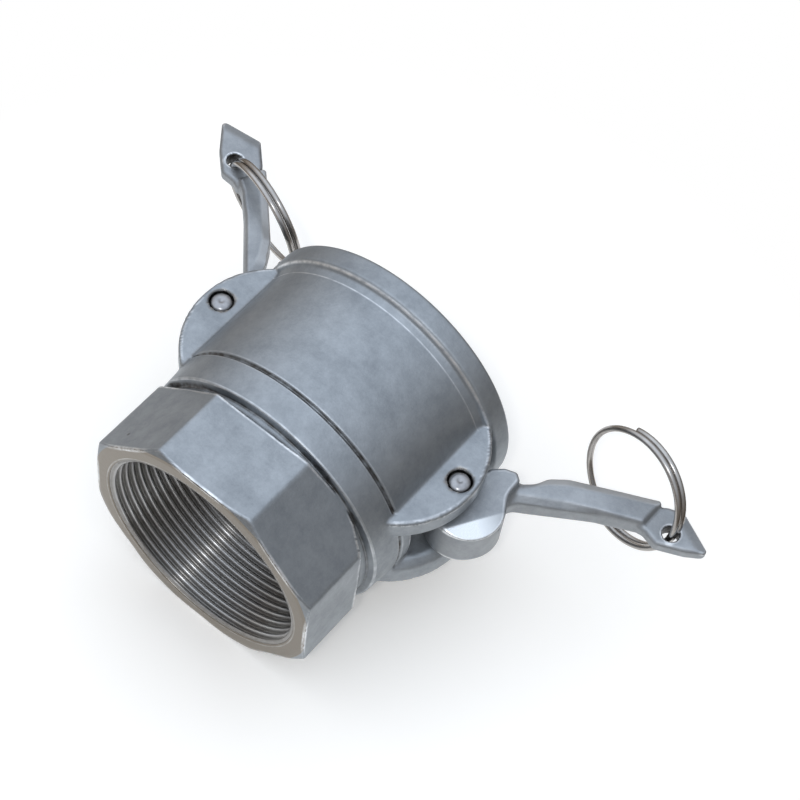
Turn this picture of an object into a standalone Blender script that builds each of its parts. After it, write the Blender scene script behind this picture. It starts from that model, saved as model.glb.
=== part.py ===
"""Cam and groove coupler for a 2 inch (DN 50) hose or pipe, cast in stainless steel.

A round socket takes a grooved adapter. Two cam arms, each on a hinge pin between
a pair of ears, press their eccentric heads into the adapter's groove when the
handles are folded back along the octagonal, threaded end. A rubber gasket seals
the bottom of the socket, and a split ring in each handle pulls it open.

Everything is modelled round the bore axis, which is +Y from the threaded mouth to
the open socket, with the hinge pins along Z. The last step stands the finished
coupler on the ground, centred on the origin.
"""
import math

import bmesh
import bpy
from mathutils import Matrix, Vector

# Sizes in metres. Lengths along the bore are measured from the threaded mouth, and
# each one builds on the one before it.

# Gasket, and the room left round it in its recess
GASKET_OUTER_RADIUS = 0.0333
GASKET_WIDTH = 0.0071
GASKET_THICKNESS = 0.00635
GASKET_EDGE = 0.0008
GASKET_STEP = 0.0005
CLEARANCE = 0.0003

# Bore, from the mouth inwards: thread, passage and socket
THREAD_MAJOR_RADIUS = 0.0301
THREAD_LENGTH = 0.0240
THREAD_TAPER = 1.0 / 32.0
MOUTH_COUNTERSINK = 0.00165
PASSAGE_STEP = 0.0037
PASSAGE_LENGTH = 0.0072
PASSAGE_SILL = 0.0006
PASSAGE_RADIUS = GASKET_OUTER_RADIUS - GASKET_WIDTH - PASSAGE_SILL
GASKET_TUCK = 0.0013
SOCKET_RADIUS = GASKET_OUTER_RADIUS - GASKET_TUCK
SOCKET_LEAD_IN = 0.0010
GASKET_SEAT = THREAD_LENGTH + PASSAGE_LENGTH
RECESS_TOP = GASKET_SEAT + GASKET_THICKNESS + 2.0 * CLEARANCE

# Cam heads: a disc whose centre lies off the pin
CAM_RADIUS = 0.0102
CAM_SHIFT_U = 0.0030
CAM_SHIFT_W = -0.0010
CAM_THICKNESS = 0.0136
CAM_EDGE = 0.0009
CAM_SIDE_GAP = 0.0007
CAM_END_GAP = 0.0010

# Slots that let the cams in through the socket wall
SLOT_REACH = CAM_RADIUS + math.hypot(CAM_SHIFT_U, CAM_SHIFT_W) + CAM_END_GAP
SLOT_WIDTH = CAM_THICKNESS + 2.0 * CAM_SIDE_GAP
SLOT_CORNER = 0.0025
SLOT_FLOOR = 0.00039
SLOT_BRIDGE = 0.00284
PIN_STATION = RECESS_TOP + SLOT_FLOOR + SLOT_REACH

# Housing: octagonal wrench end round the thread
WRENCH_WALL = 0.0048
OCTAGON_FLATS = 2.0 * (THREAD_MAJOR_RADIUS + WRENCH_WALL)
OCTAGON_LENGTH = 0.0226
MOUTH_FACE_WIDTH = 0.0053
MOUTH_CHAMFER_SLOPE = 2.0

# Housing: turned neck, round collar, groove line and socket wall
NECK_WALL = 0.0044
NECK_RADIUS = THREAD_MAJOR_RADIUS + NECK_WALL
NECK_LENGTH = 0.0024
CUP_WALL = 0.0056
CUP_RADIUS = SOCKET_RADIUS + CUP_WALL
CUP_RISE = 0.0030
CUP_START = GASKET_SEAT + CUP_RISE
COLLAR_STEP = 0.0007
COLLAR_RADIUS = CUP_RADIUS - COLLAR_STEP
COLLAR_LEAD = 0.0012
COLLAR_FLARE = 0.0005
GROOVE_WIDTH = 0.0009
GROOVE_DEPTH = 0.0007

# Housing: lip round the open end
LIP_RIM = 0.0024
LIP_RADIUS = CUP_RADIUS + LIP_RIM
LIP_LENGTH = 0.0064
LIP_EASE = 0.0006
LIP_FLARE_LENGTH = 0.0027
LIP_ROUNDING = 0.0010
OVERALL_LENGTH = PIN_STATION + SLOT_REACH + SLOT_BRIDGE + LIP_LENGTH

# Hinge pins and ears
PIN_OUTSET = 0.0
PIN_OFFSET = LIP_RADIUS + PIN_OUTSET
PIN_RADIUS = 0.0030
PIN_FIT = 0.00008
PIN_RECESS = 0.0004
PIN_DOME = 0.0007
EAR_ARC_RADIUS = 0.0250
EAR_MARGIN = 0.0049
EAR_REACH = PIN_OFFSET + EAR_MARGIN
EAR_DROP = 0.0016
EAR_STATION = PIN_STATION - EAR_DROP
EAR_THICKNESS = 0.00865
EAR_TOP = SLOT_WIDTH / 2.0 + EAR_THICKNESS
EAR_EDGE = 0.0008
EAR_ROOT = 0.0010

# Split rings: two turns of wire side by side
RING_RADIUS = 0.0165
WIRE_RADIUS = 0.00087
WIRE_GAP = 0.0001
SINGLE_WIRE = math.radians(115.0)
RIGHT_RING_SWING = math.radians(131.4)
RIGHT_RING_LEAN = math.radians(15.0)
RIGHT_RING_SLIP = math.radians(7.0)
RIGHT_RING_JOG = math.radians(62.0)
RIGHT_RING_PLAY = -0.0003
LEFT_RING_SWING = math.radians(145.2)
LEFT_RING_LEAN = math.radians(-6.4)
LEFT_RING_SLIP = math.radians(-19.0)
LEFT_RING_JOG = math.radians(-60.0)
LEFT_RING_PLAY = 0.0002
RING_ROOM = 0.0008
RING_HOLE_RADIUS = 2.0 * WIRE_RADIUS + WIRE_GAP + RING_ROOM

# Handles, in the plane of the arm: u runs from the pin to the ring hole, and w
# points away from the body when the arm is closed
ARM_LENGTH = 0.0564
RIGHT_ARM_ANGLE = math.radians(33.9)
LEFT_ARM_ANGLE = math.radians(52.4)
STOP_HEEL_U = 0.0141
STOP_HEEL_W = 0.0052
STOP_TIP_U = 0.0160
STOP_TIP_W = 0.0090
STOP_TOP_U = 0.0142
STOP_TOP_W = 0.0104
STOP_START_U = 0.0094
BAR_THICKNESS = 0.0086
BAR_CHAMFER = 0.0012
BAR_NECK_U = 0.0160
BAR_NECK_W = 0.0085
BAR_HUMP_START_U = 0.0198
BAR_HUMP_START_W = 0.0093
BAR_HUMP_U = 0.0262
BAR_HUMP_W = 0.0116
BAR_UNDER_W = 0.0042
BAR_END_GAP = 0.0032
BAR_END_W = 0.0091
BAR_END_SLANT = 0.0034
BAR_END_STEP_W = 0.0045
BAR_TOE_W = 0.0017
RIGHT_BAR_INSET = 0.0
LEFT_BAR_INSET = 0.0012
TAB_THICKNESS = 0.0042
TAB_EDGE = 0.0007
TAB_START = 0.0090
TAB_TOP_W = 0.0079
TAB_TIP_W = 0.0068
TAB_TIP_SLANT = 0.0060
TAB_TOE_W = -0.0034
TAB_TOE = 0.0010
TAB_UNDER_W = -0.0046
TAB_WAIST = 0.0040
RIGHT_TAB_REACH = 0.0098
LEFT_TAB_REACH = 0.0141
CORNER_SHARP = 0.0008
CORNER_EASED = 0.0015
CORNER_ROUND = 0.0020
CORNER_WIDE = 0.0060

# Facets
TURN_STEPS = 80
PIN_STEPS = 24
CORNER_STEPS = 5
RING_STEPS = 48
SMOOTH_ANGLE = math.radians(32)
FLAT_ANGLE = math.radians(0.5)
MERGE = 0.000002


def clear_scene():
    """Remove every object, so the script can be run again in the same file."""
    for thing in list(bpy.data.objects):
        bpy.data.objects.remove(thing, do_unlink=True)


def make_collection(name):
    group = bpy.data.collections.new(name)
    bpy.context.scene.collection.children.link(group)
    return group


def make_material(name, colour, roughness, metallic):
    finish = bpy.data.materials.new(name)
    finish.use_nodes = True
    shader = finish.node_tree.nodes["Principled BSDF"]
    shader.inputs["Base Color"].default_value = (*colour, 1.0)
    shader.inputs["Roughness"].default_value = roughness
    shader.inputs["Metallic"].default_value = metallic
    return finish


def add_object(name, data, group, parent=None):
    thing = bpy.data.objects.new(name, data)
    group.objects.link(thing)
    thing.parent = parent
    return thing


def as_guide(thing):
    """Mark a shape that only cuts or joins another, and is no part of its own."""
    thing.hide_render = True
    thing.display_type = "WIRE"
    return thing


def turned(name, profile, closed, steps, group, parent):
    """Turn a profile of (radius, height) points round the local Z axis.

    The points run down the outer side. A profile that isn't closed starts and
    ends on the axis.
    """
    mesh = bpy.data.meshes.new(name)
    points = [(radius, 0.0, height) for radius, height in profile]
    edges = [(i, i + 1) for i in range(len(points) - 1)]
    if closed:
        edges.append((len(points) - 1, 0))
    mesh.from_pydata(points, edges, [])
    thing = add_object(name, mesh, group, parent)
    screw = thing.modifiers.new("turn", "SCREW")
    screw.axis = "Z"
    screw.steps = steps
    screw.render_steps = steps
    screw.use_merge_vertices = True
    screw.merge_threshold = MERGE
    screw.use_normal_calculate = False
    return thing


def rounded_outline(corners):
    """Points of a closed outline whose corners (x, y, radius) are rounded by arcs."""
    points = []
    count = len(corners)
    for i, (x, y, radius) in enumerate(corners):
        corner = Vector((x, y))
        before = Vector(corners[i - 1][:2]) - corner
        after = Vector(corners[(i + 1) % count][:2]) - corner
        half = before.angle(after) / 2.0
        if radius == 0.0:
            points.append((x, y))
            continue
        reach = radius / math.tan(half)
        centre = corner + (before.normalized() + after.normalized()).normalized() * (
            radius / math.sin(half))
        start = corner + before.normalized() * reach - centre
        turn = start.angle_signed(corner + after.normalized() * reach - centre)
        for step in range(CORNER_STEPS + 1):
            angle = -turn * step / CORNER_STEPS
            spun = Vector((start.x * math.cos(angle) - start.y * math.sin(angle),
                           start.x * math.sin(angle) + start.y * math.cos(angle)))
            points.append(tuple(centre + spun))
    return points


def plate(name, outline, thickness, group, parent):
    """A flat outline extruded to a thickness, centred on its own plane, as a mesh."""
    flat = bpy.data.curves.new(name, "CURVE")
    flat.dimensions = "2D"
    flat.fill_mode = "BOTH"
    flat.extrude = thickness / 2.0
    spline = flat.splines.new("POLY")
    spline.points.add(len(outline) - 1)
    for point, (x, y) in zip(spline.points, outline):
        point.co = (x, y, 0.0, 1.0)
    spline.use_cyclic_u = True
    sketch = add_object(name + "_sketch", flat, group)
    mesh = mesh_of(sketch)
    bpy.data.objects.remove(sketch, do_unlink=True)
    work = bmesh.new()
    work.from_mesh(mesh)
    bmesh.ops.dissolve_limit(work, angle_limit=FLAT_ANGLE, verts=work.verts, edges=work.edges)
    work.to_mesh(mesh)
    work.free()
    return add_object(name, mesh, group, parent)


def mesh_of(thing):
    """The evaluated mesh of an object or curve, with loose caps welded on."""
    bpy.context.view_layer.update()
    seen = thing.evaluated_get(bpy.context.evaluated_depsgraph_get())
    mesh = bpy.data.meshes.new_from_object(seen)
    work = bmesh.new()
    work.from_mesh(mesh)
    bmesh.ops.remove_doubles(work, verts=work.verts, dist=MERGE)
    bmesh.ops.recalc_face_normals(work, faces=work.faces)
    work.to_mesh(mesh)
    work.free()
    return mesh


def soften(thing, width, segments):
    bevel = thing.modifiers.new("edges", "BEVEL")
    bevel.width = width
    bevel.segments = segments
    bevel.limit_method = "ANGLE"
    bevel.angle_limit = math.radians(40)
    bevel.use_clamp_overlap = False
    return thing


def combine(thing, other, operation):
    cut = thing.modifiers.new(other.name, "BOOLEAN")
    cut.operation = operation
    cut.solver = "EXACT"
    cut.object = other


def settle(thing, finish):
    """Apply the modifiers, shade the round faces smooth and give the finish."""
    mesh = mesh_of(thing)
    thing.modifiers.clear()
    thing.data = mesh
    mesh.materials.clear()
    mesh.materials.append(finish)
    mesh.shade_smooth()
    mesh.set_sharp_from_angle(angle=SMOOTH_ANGLE)


def rod(name, radius, length, place, group, parent):
    """A round bar along Z, centred on its place, used to bore a hole."""
    mesh = bpy.data.meshes.new(name)
    work = bmesh.new()
    bmesh.ops.create_cone(work, cap_ends=True, segments=PIN_STEPS,
                          radius1=radius, radius2=radius, depth=length)
    work.to_mesh(mesh)
    work.free()
    bar = add_object(name, mesh, group, parent)
    bar.location = place
    return as_guide(bar)


def arc_profile(centre_radius, centre_height, radius, start, end, steps):
    """Points (radius, height) of an arc in a turned profile, angles in degrees."""
    points = []
    for step in range(steps + 1):
        angle = math.radians(start + (end - start) * step / steps)
        points.append((centre_radius + radius * math.cos(angle),
                       centre_height + radius * math.sin(angle)))
    return points


def along_bore(thing):
    """Lay a turned shape over, so its own Z runs along the bore, which is +Y."""
    thing.rotation_euler = (-math.pi / 2.0, 0.0, 0.0)
    return thing


def outer_form(group, frame):
    """The turned outside: lip, flare, socket wall, groove line, collar and neck."""
    lip_start = OVERALL_LENGTH - LIP_LENGTH
    lip_top = OVERALL_LENGTH - LIP_ROUNDING
    profile = [(0.0, OVERALL_LENGTH)]
    profile += arc_profile(LIP_RADIUS - LIP_ROUNDING, lip_top, LIP_ROUNDING, 90, 0, 3)
    profile.append((LIP_RADIUS, lip_start + LIP_EASE * 2.0))
    profile.append((LIP_RADIUS - LIP_EASE, lip_start))
    profile.append((CUP_RADIUS, lip_start - LIP_FLARE_LENGTH))
    profile.append((CUP_RADIUS, CUP_START + GROOVE_WIDTH))
    profile.append((CUP_RADIUS - GROOVE_DEPTH, CUP_START + GROOVE_WIDTH / 2.0))
    profile.append((COLLAR_RADIUS + COLLAR_FLARE, CUP_START))
    neck_end = OCTAGON_LENGTH + NECK_LENGTH
    profile.append((COLLAR_RADIUS, neck_end + COLLAR_LEAD))
    profile.append((NECK_RADIUS, neck_end))
    profile.append((NECK_RADIUS, OCTAGON_LENGTH))
    profile.append((THREAD_MAJOR_RADIUS, OCTAGON_LENGTH))
    profile.append((THREAD_MAJOR_RADIUS, OCTAGON_LENGTH / 2.0))
    profile.append((0.0, OCTAGON_LENGTH / 2.0))
    return as_guide(along_bore(turned("outer_form", profile, False, TURN_STEPS, group, frame)))


def octagon_end(group, frame):
    """The eight wrench flats, with their front corners turned off by a chamfer."""
    corner = OCTAGON_FLATS / 2.0 / math.cos(math.pi / 8.0)
    mesh = bpy.data.meshes.new("octagon")
    work = bmesh.new()
    length = OCTAGON_LENGTH + CLEARANCE
    bmesh.ops.create_cone(work, cap_ends=True, segments=8, radius1=corner,
                          radius2=corner, depth=length)
    bmesh.ops.rotate(work, verts=work.verts, matrix=Matrix.Rotation(math.pi / 8.0, 3, "Z"))
    bmesh.ops.translate(work, verts=work.verts, vec=(0.0, 0.0, length / 2.0))
    work.to_mesh(mesh)
    work.free()
    flats = as_guide(along_bore(add_object("octagon", mesh, group, frame)))
    rim = THREAD_MAJOR_RADIUS + MOUTH_FACE_WIDTH
    wide = corner * 1.5
    profile = [(0.0, OVERALL_LENGTH), (wide, OVERALL_LENGTH),
               (wide, (wide - rim) / MOUTH_CHAMFER_SLOPE), (rim, 0.0), (0.0, 0.0)]
    chamfer = turned("mouth_chamfer", profile, False, TURN_STEPS, group, frame)
    combine(flats, as_guide(along_bore(chamfer)), "INTERSECT")
    return flats


def bore_form(group, frame):
    """The inside of the housing as one turned cutter, from past the lip to past the mouth."""
    beyond = OVERALL_LENGTH + LIP_LENGTH
    recess_radius = GASKET_OUTER_RADIUS + CLEARANCE
    rim = THREAD_MAJOR_RADIUS + MOUTH_COUNTERSINK
    end_radius = THREAD_MAJOR_RADIUS - THREAD_LENGTH * THREAD_TAPER
    profile = [(0.0, beyond),
               (SOCKET_RADIUS + SOCKET_LEAD_IN, beyond),
               (SOCKET_RADIUS + SOCKET_LEAD_IN, OVERALL_LENGTH),
               (SOCKET_RADIUS, OVERALL_LENGTH - SOCKET_LEAD_IN),
               (SOCKET_RADIUS, RECESS_TOP),
               (recess_radius, RECESS_TOP),
               (recess_radius, GASKET_SEAT),
               (PASSAGE_RADIUS, GASKET_SEAT),
               (PASSAGE_RADIUS, THREAD_LENGTH + PASSAGE_STEP),
               (end_radius, THREAD_LENGTH),
               (THREAD_MAJOR_RADIUS, MOUTH_COUNTERSINK),
               (rim, 0.0),
               (rim, -MOUTH_COUNTERSINK),
               (0.0, -MOUTH_COUNTERSINK)]
    return as_guide(along_bore(turned("bore_form", profile, False, TURN_STEPS, group, frame)))


def ear(name, side, level, group, frame):
    """One ear: a plate whose round edge rises from the collar to the lip."""
    centre = EAR_REACH - EAR_ARC_RADIUS
    half = math.acos((SOCKET_RADIUS + EAR_ROOT - centre) / EAR_ARC_RADIUS)
    steps = CORNER_STEPS * 4
    outline = []
    for step in range(steps + 1):
        angle = half * (2.0 * step / steps - 1.0)
        x = centre + EAR_ARC_RADIUS * math.cos(angle)
        y = EAR_STATION + EAR_ARC_RADIUS * math.sin(angle)
        outline.append((side * x, y))
    lug = plate(name, outline, EAR_THICKNESS, group, frame)
    lug.location = (0.0, 0.0, level * (EAR_TOP - EAR_THICKNESS / 2.0))
    return as_guide(soften(lug, EAR_EDGE, 2))


def cam_slot(name, side, group, frame):
    """The window in the socket wall that lets a cam swing in to the groove."""
    inner = SOCKET_RADIUS - GASKET_TUCK
    corners = [(side * inner, PIN_STATION - SLOT_REACH, 0.0),
               (side * inner, PIN_STATION + SLOT_REACH, 0.0),
               (side * EAR_REACH, PIN_STATION + SLOT_REACH, SLOT_CORNER),
               (side * EAR_REACH, PIN_STATION - SLOT_REACH, SLOT_CORNER)]
    return as_guide(plate(name, rounded_outline(corners), SLOT_WIDTH, group, frame))


def make_housing(parts, cutters, frame, finish):
    """The casting: socket, wrench end and four ears in one piece, then machined."""
    housing = outer_form(parts, frame)
    housing.name = "housing"
    housing.hide_render = False
    housing.display_type = "TEXTURED"
    combine(housing, octagon_end(cutters, frame), "UNION")
    for side_name, side in (("right", 1), ("left", -1)):
        for level_name, level in (("upper", 1), ("lower", -1)):
            lug = ear(f"{side_name}_{level_name}_ear", side, level, cutters, frame)
            combine(housing, lug, "UNION")
    combine(housing, bore_form(cutters, frame), "DIFFERENCE")
    for side_name, side in (("right", 1), ("left", -1)):
        combine(housing, cam_slot(side_name + "_cam_slot", side, cutters, frame), "DIFFERENCE")
        bore = rod(side_name + "_pin_bore", PIN_RADIUS + PIN_FIT, EAR_TOP * 3.0,
                   (side * PIN_OFFSET, PIN_STATION, 0.0), cutters, frame)
        combine(housing, bore, "DIFFERENCE")
    settle(housing, finish)


def make_gasket(parts, frame, finish):
    """The rubber washer at the bottom of the socket.

    Its rim is a step thinner, where it is tucked under the edge of the recess.
    """
    bottom = GASKET_SEAT + CLEARANCE
    top = bottom + GASKET_THICKNESS
    edge = GASKET_EDGE
    rim = top - GASKET_STEP
    step = SOCKET_RADIUS - GASKET_STEP
    inner = GASKET_OUTER_RADIUS - GASKET_WIDTH
    profile = [(step, top), (step + GASKET_STEP, rim),
               (GASKET_OUTER_RADIUS - edge, rim), (GASKET_OUTER_RADIUS, rim - edge),
               (GASKET_OUTER_RADIUS, bottom + edge), (GASKET_OUTER_RADIUS - edge, bottom),
               (inner + edge, bottom), (inner, bottom + edge),
               (inner, top - edge), (inner + edge, top)]
    gasket = along_bore(turned("gasket", profile, True, TURN_STEPS, parts, frame))
    settle(gasket, finish)


def make_pin(name, side, parts, frame, finish):
    """A headless pin through both ears, with domed ends set just below the ears."""
    half = EAR_TOP - PIN_RECESS
    dome_radius = (PIN_RADIUS ** 2 + PIN_DOME ** 2) / (2.0 * PIN_DOME)
    spread = math.degrees(math.asin(PIN_RADIUS / dome_radius))
    top = arc_profile(0.0, half - dome_radius, dome_radius, 90, 90 - spread, 4)
    bottom = [(radius, -height) for radius, height in reversed(top)]
    profile = [(0.0, half)] + top[1:] + bottom[:-1] + [(0.0, -half)]
    pin = turned(name, profile, False, PIN_STEPS, parts, frame)
    pin.location = (side * PIN_OFFSET, PIN_STATION, 0.0)
    settle(pin, finish)


def cam_outline(hand):
    """The eccentric disc, whose centre lies off the pin, and the stop shoulder on it.

    The shoulder meets the lip of the housing when the arm is fully open.
    """
    steps = TURN_STEPS // 2
    first = math.radians(75)
    last = math.radians(375)
    corners = []
    for step in range(steps + 1):
        angle = first + (last - first) * step / steps
        corners.append((CAM_SHIFT_U + CAM_RADIUS * math.cos(angle),
                        CAM_SHIFT_W + CAM_RADIUS * math.sin(angle), 0.0))
    corners += [(STOP_HEEL_U, STOP_HEEL_W, CORNER_ROUND), (STOP_TIP_U, STOP_TIP_W, CORNER_SHARP),
                (STOP_TOP_U, STOP_TOP_W, CORNER_EASED), (STOP_START_U, STOP_TOP_W, CORNER_ROUND)]
    return [(u, hand * w) for u, w in rounded_outline(corners)]


def bar_outline(hand, inset):
    """The handle from its root in the cam, past the neck, to the tab.

    inset is how much narrower the casting is along the side towards the body.
    """
    end = ARM_LENGTH - BAR_END_GAP
    root = CAM_RADIUS / 2.0
    corners = [(root, 0.0, CORNER_EASED), (root, BAR_NECK_W - CORNER_ROUND, CORNER_EASED),
               (STOP_START_U, BAR_NECK_W, CORNER_ROUND), (BAR_NECK_U, BAR_NECK_W, CORNER_ROUND),
               (BAR_HUMP_START_U, BAR_HUMP_START_W, CORNER_WIDE),
               (BAR_HUMP_U, BAR_HUMP_W, CORNER_WIDE), (end, BAR_END_W, CORNER_EASED),
               (end - TAB_TOE, BAR_END_STEP_W, CORNER_ROUND),
               (end - BAR_END_SLANT - inset, BAR_TOE_W + inset, CORNER_EASED),
               (BAR_NECK_U, BAR_UNDER_W + inset, CORNER_ROUND), (CAM_RADIUS, 0.0, CORNER_ROUND)]
    return [(u, hand * w) for u, w in rounded_outline(corners)]


def tab_outline(hand, reach):
    """The thinner end round the ring hole, with its slanting tip."""
    hole = ARM_LENGTH
    tip = hole + reach
    start = hole - TAB_START
    corners = [(start, BAR_UNDER_W, CORNER_SHARP), (start, TAB_TOP_W, CORNER_SHARP),
               (hole, TAB_TOP_W, CORNER_ROUND), (tip - TAB_TIP_SLANT, TAB_TIP_W, CORNER_EASED),
               (tip, TAB_TOE_W, CORNER_SHARP), (tip - TAB_TOE, TAB_UNDER_W, CORNER_SHARP),
               (hole + TAB_WAIST, TAB_UNDER_W, CORNER_ROUND),
               (hole - TAB_WAIST, TAB_TOE_W, CORNER_ROUND),
               (hole - TAB_WAIST - RING_HOLE_RADIUS, 0.0, CORNER_ROUND)]
    return [(u, hand * w) for u, w in rounded_outline(corners)]


def make_arm(name, hand, angle, reach, inset, parts, cutters, frame, finish):
    """One cam arm, with its origin on the hinge axis.

    hand is 1 for the arm on +X and -1 for its mirror image on -X. The angle is
    how far the handle lies beyond square to the bore, towards the open end,
    reach is how far the tab runs past the ring hole, and inset narrows the bar.
    """
    arm = soften(plate(name, cam_outline(hand), CAM_THICKNESS, parts, frame), CAM_EDGE, 2)
    bar = plate(name + "_bar", bar_outline(hand, inset), BAR_THICKNESS, cutters, arm)
    tab = plate(name + "_tab", tab_outline(hand, reach), TAB_THICKNESS, cutters, arm)
    combine(arm, as_guide(soften(bar, BAR_CHAMFER, 2)), "UNION")
    combine(arm, as_guide(soften(tab, TAB_EDGE, 2)), "UNION")
    bore = rod(name + "_bore", PIN_RADIUS + PIN_FIT, EAR_TOP * 2.0, (0, 0, 0), cutters, arm)
    combine(arm, bore, "DIFFERENCE")
    hole = rod(name + "_ring_hole", RING_HOLE_RADIUS, EAR_TOP * 2.0,
               (ARM_LENGTH, 0, 0), cutters, arm)
    combine(arm, hole, "DIFFERENCE")
    settle(arm, finish)
    arm.location = (hand * PIN_OFFSET, PIN_STATION, 0.0)
    arm.rotation_euler = (0.0, 0.0, angle if hand > 0 else math.pi - angle)
    return arm


def ring_path(slip, jog, play):
    """Centre line of a split ring that passes the origin at a distance of play.

    Two turns lie side by side in the XZ plane. One end of the wire stops at the
    jog. From there the wire is single for a stretch, in which it crosses over
    from one turn to the other, and its other end stops behind that stretch.
    """
    pitch = 2.0 * WIRE_RADIUS + WIRE_GAP
    reach = RING_RADIUS + play
    centre = Vector((reach * math.cos(slip), 0.0, reach * math.sin(slip)))
    total = 4.0 * math.pi - SINGLE_WIRE
    count = RING_STEPS * 2
    points = []
    for i in range(count):
        along = total * i / (count - 1)
        blend = (along - (2.0 * math.pi - SINGLE_WIRE)) / SINGLE_WIRE
        blend = min(max(blend, 0.0), 1.0)
        side = pitch * (blend * blend * (3.0 - 2.0 * blend) - 0.5)
        angle = jog + along
        points.append(centre + Vector((RING_RADIUS * math.cos(angle), side,
                                       RING_RADIUS * math.sin(angle))))
    return points


def make_ring(name, hand, swing, lean, path, arm, parts, finish):
    """One split ring, with its origin in the arm's hole, on the axis it swings about."""
    wire = bpy.data.curves.new(name, "CURVE")
    wire.dimensions = "3D"
    wire.bevel_depth = WIRE_RADIUS
    wire.bevel_resolution = 2
    wire.use_fill_caps = True
    spline = wire.splines.new("POLY")
    spline.points.add(len(path) - 1)
    for point, place in zip(spline.points, path):
        point.co = (*place, 1.0)
    wire.materials.append(finish)
    ring = add_object(name, wire, parts, arm)
    ring.location = (ARM_LENGTH, 0.0, 0.0)
    ring.rotation_euler = (hand * lean, 0.0, hand * swing)
    return ring


def stand_on_ground(parts, frame):
    """Move the whole coupler, so its box is centred over the origin and rests on z = 0."""
    bpy.context.view_layer.update()
    seen = bpy.context.evaluated_depsgraph_get()
    corners = []
    for thing in parts.objects:
        placed = thing.evaluated_get(seen)
        mesh = placed.to_mesh()
        corners += [placed.matrix_world @ vert.co for vert in mesh.vertices]
        placed.to_mesh_clear()
    low = Vector([min(corner[i] for corner in corners) for i in range(3)])
    high = Vector([max(corner[i] for corner in corners) for i in range(3)])
    frame.location = (-(low.x + high.x) / 2.0, -(low.y + high.y) / 2.0, -low.z)


clear_scene()
parts = make_collection("cam_and_groove_coupler")
cutters = make_collection("cutters")
frame = add_object("bore_axis", None, cutters)
cast_steel = make_material("cast_steel", (0.44, 0.45, 0.46), 0.42, 1.0)
bright_steel = make_material("bright_steel", (0.62, 0.62, 0.62), 0.25, 1.0)
black_rubber = make_material("black_rubber", (0.02, 0.02, 0.022), 0.6, 0.0)

make_housing(parts, cutters, frame, cast_steel)
make_gasket(parts, frame, black_rubber)
make_pin("right_hinge_pin", 1, parts, frame, bright_steel)
make_pin("left_hinge_pin", -1, parts, frame, bright_steel)
right_arm = make_arm("right_cam_arm", 1, RIGHT_ARM_ANGLE, RIGHT_TAB_REACH,
                     RIGHT_BAR_INSET, parts, cutters, frame, cast_steel)
left_arm = make_arm("left_cam_arm", -1, LEFT_ARM_ANGLE, LEFT_TAB_REACH,
                    LEFT_BAR_INSET, parts, cutters, frame, cast_steel)
make_ring("right_pull_ring", 1, RIGHT_RING_SWING, RIGHT_RING_LEAN,
          ring_path(RIGHT_RING_SLIP, RIGHT_RING_JOG, RIGHT_RING_PLAY),
          right_arm, parts, bright_steel)
make_ring("left_pull_ring", -1, LEFT_RING_SWING, LEFT_RING_LEAN,
          ring_path(LEFT_RING_SLIP, LEFT_RING_JOG, LEFT_RING_PLAY),
          left_arm, parts, bright_steel)
stand_on_ground(parts, frame)
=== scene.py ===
"""Cam and groove coupler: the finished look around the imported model.

The coupler lies as it was photographed, with its open arms spread to the left
and right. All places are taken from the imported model, in metres. Round the bore,
+Y runs from the threaded mouth to the open socket and +Z is up.
"""
import math

import bpy
import numpy as np
from mathutils import Matrix, Vector


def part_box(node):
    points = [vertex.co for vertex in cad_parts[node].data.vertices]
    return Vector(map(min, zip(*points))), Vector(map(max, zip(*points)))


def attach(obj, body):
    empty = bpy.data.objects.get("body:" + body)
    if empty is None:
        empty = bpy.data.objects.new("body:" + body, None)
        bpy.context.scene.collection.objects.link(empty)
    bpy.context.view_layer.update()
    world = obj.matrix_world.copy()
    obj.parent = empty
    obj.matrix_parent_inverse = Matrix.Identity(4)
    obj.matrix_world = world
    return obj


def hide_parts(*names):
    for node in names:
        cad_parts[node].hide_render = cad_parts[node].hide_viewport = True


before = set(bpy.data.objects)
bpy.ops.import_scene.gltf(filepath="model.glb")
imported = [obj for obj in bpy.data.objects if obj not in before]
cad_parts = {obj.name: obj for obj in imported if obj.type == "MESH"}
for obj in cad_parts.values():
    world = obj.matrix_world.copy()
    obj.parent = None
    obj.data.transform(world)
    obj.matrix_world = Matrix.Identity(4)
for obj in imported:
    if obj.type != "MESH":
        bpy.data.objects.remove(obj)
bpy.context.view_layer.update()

# The photographer's place. The camera looks down on the coupler from the right of
# the threaded mouth, at the angle worked out from the ears, pins and lip. The room
# is a plain white studio with a wide soft light overhead.
body_low, body_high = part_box("housing")
MOUTH = Vector(((body_low.x + body_high.x) / 2.0, body_low.y, (body_low.z + body_high.z) / 2.0))
EYE = Vector((0.160514, -0.186402, 0.486415))
EYE_RIGHT = Vector((0.771451, 0.629799, 0.090640))
EYE_DOWN = Vector((0.578032, -0.634128, -0.513576))
LENS = 96.885

camera_data = bpy.data.cameras.new("photo_camera")
camera_data.sensor_width = 36.0
camera_data.lens = LENS
camera_data.clip_start = 0.01
camera = bpy.data.objects.new("photo_camera", camera_data)
bpy.context.scene.collection.objects.link(camera)
back = EYE_RIGHT.cross(-EYE_DOWN)
turn = Matrix((EYE_RIGHT, -EYE_DOWN, back)).transposed().to_4x4()
camera.matrix_world = Matrix.Translation(MOUTH + EYE) @ turn
bpy.context.scene.camera = camera
bpy.context.scene.view_settings.view_transform = "Standard"


# White studio: the camera sees plain white behind everything, through the light tent.
world = bpy.data.worlds.new("white_studio")
world.use_nodes = True
room = world.node_tree
room.nodes.clear()


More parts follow.
